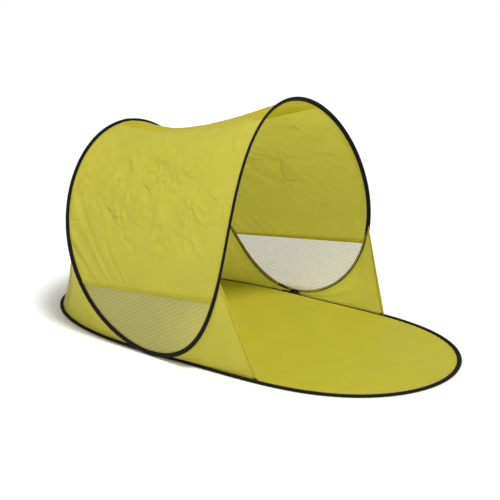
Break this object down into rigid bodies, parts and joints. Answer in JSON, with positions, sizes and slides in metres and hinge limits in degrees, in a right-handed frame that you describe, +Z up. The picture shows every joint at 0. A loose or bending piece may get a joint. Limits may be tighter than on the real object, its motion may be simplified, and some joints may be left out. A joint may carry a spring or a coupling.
{
  "type": "pop up tent",
  "caption": "Small open-fronted pop-up beach tent: saddle-shaped sprung hoop with a curved canopy and mesh side windows over a flat oval hoop with a sewn-in floor.",
  "frame": {"origin": "on the ground, in the middle of the tent's length and width", "axes": "+X out of the open front, +Z up, +Y to the left when facing +X"},
  "size_m": [2.002, 1.0968, 1.019],
  "materials": {
    "yellow_polyester": "thin coated polyester, slight sheen",
    "floor_fabric": "coated polyester, slight sheen",
    "mesh": "open polyester netting",
    "black_tape": "folded woven binding tape",
    "dark_thread": "dense zigzag stitching",
    "sprung_steel": "sprung steel wire",
    "ferrule_metal": "crimped tube"
  },
  "bodies": {
    "root": {"bar_tack_far": "dark_thread", "bar_tack_near": "dark_thread", "base_binding": "black_tape", "base_binding_join": "black_tape", "base_hoop_ferrule": "ferrule_metal", "base_hoop_wire": "sprung_steel", "canopy_binding": "black_tape", "canopy_binding_join": "black_tape", "canopy_hoop_ferrule": "ferrule_metal", "canopy_hoop_wire": "sprung_steel", "canopy_panel": "yellow_polyester", "floor_sheet": "floor_fabric", "foot_tie_far": "black_tape", "foot_tie_near": "black_tape", "front_gusset_far": "yellow_polyester", "front_gusset_hem_far": "yellow_polyester", "front_gusset_hem_near": "yellow_polyester", "front_gusset_near": "yellow_polyester", "rear_gusset_far": "yellow_polyester", "rear_gusset_near": "yellow_polyester", "rear_wall": "yellow_polyester", "rear_window": "mesh", "rear_window_hem": "yellow_polyester", "ridge_reinforcement": "yellow_polyester", "side_window_far": "mesh", "side_window_near": "mesh", "window_hem_far": "yellow_polyester", "window_hem_near": "yellow_polyester"}
  },
  "joints": []
}
